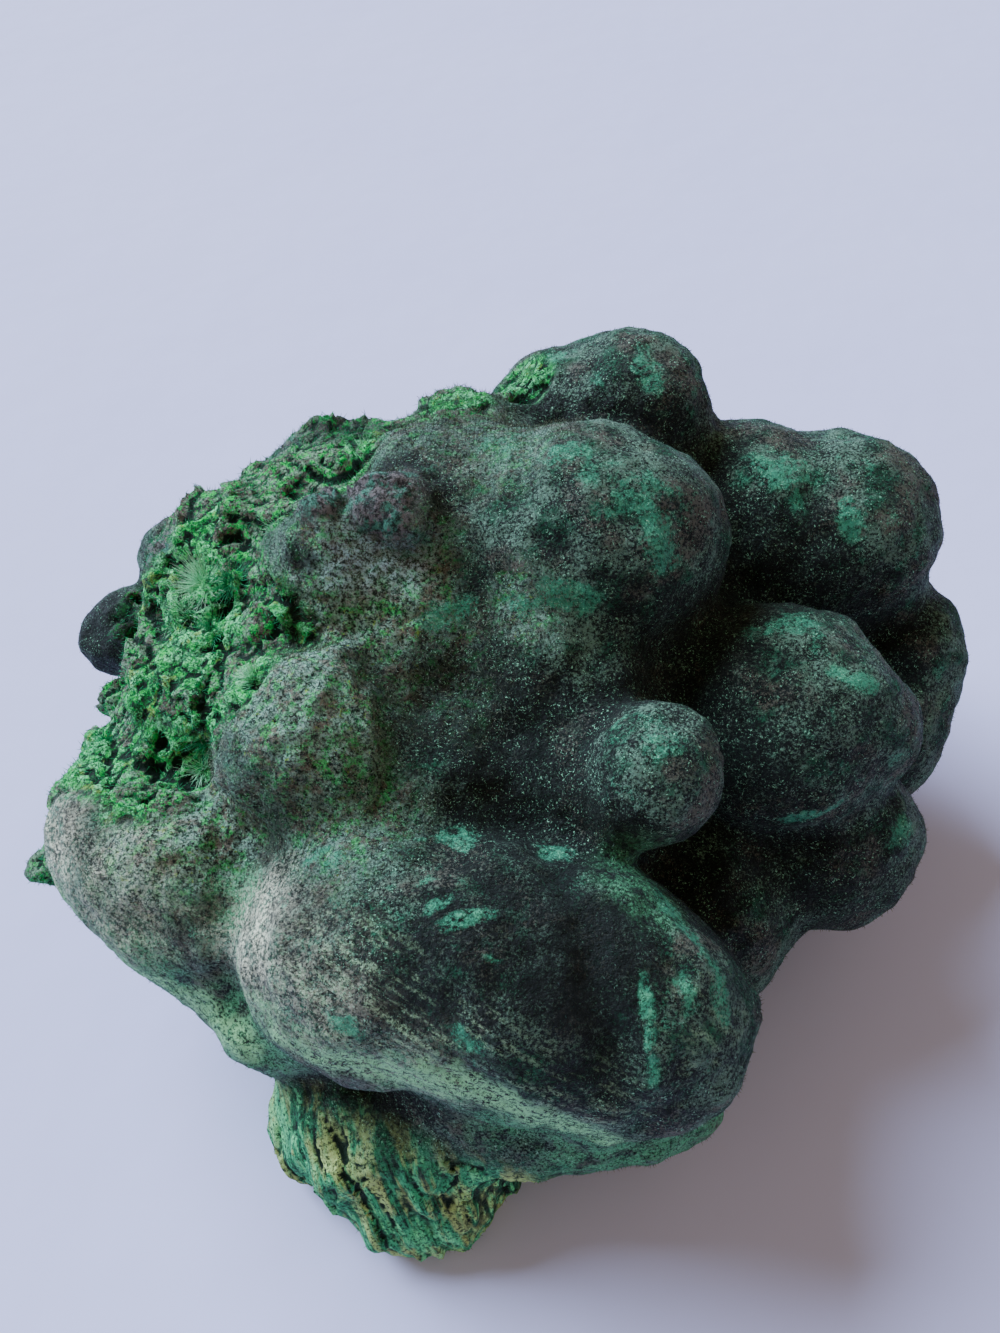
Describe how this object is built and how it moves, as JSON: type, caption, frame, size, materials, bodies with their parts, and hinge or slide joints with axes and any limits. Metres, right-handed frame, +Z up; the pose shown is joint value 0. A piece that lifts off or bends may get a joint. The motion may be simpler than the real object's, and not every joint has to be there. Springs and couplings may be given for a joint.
{
  "type": "malachite specimen",
  "caption": "Rounded, lobed mineral stone with a broken crust on one side and a flat trimmed base that it stands on; for display, study or use as a paperweight.",
  "frame": {"origin": "middle of the stone's bounding box at the level of the flat base", "axes": "+Z up from the base; -Y is the front, the side of the broad front lobe and the broken foot; +X is towards the pair of free lobes on the right"},
  "size_m": [0.1074, 0.0934, 0.058],
  "materials": {
    "malachite": "matte velvety, with teal rubbed patches and a bright green broken crust"
  },
  "bodies": {
    "root": {"malachite_stone": "malachite"}
  },
  "joints": []
}
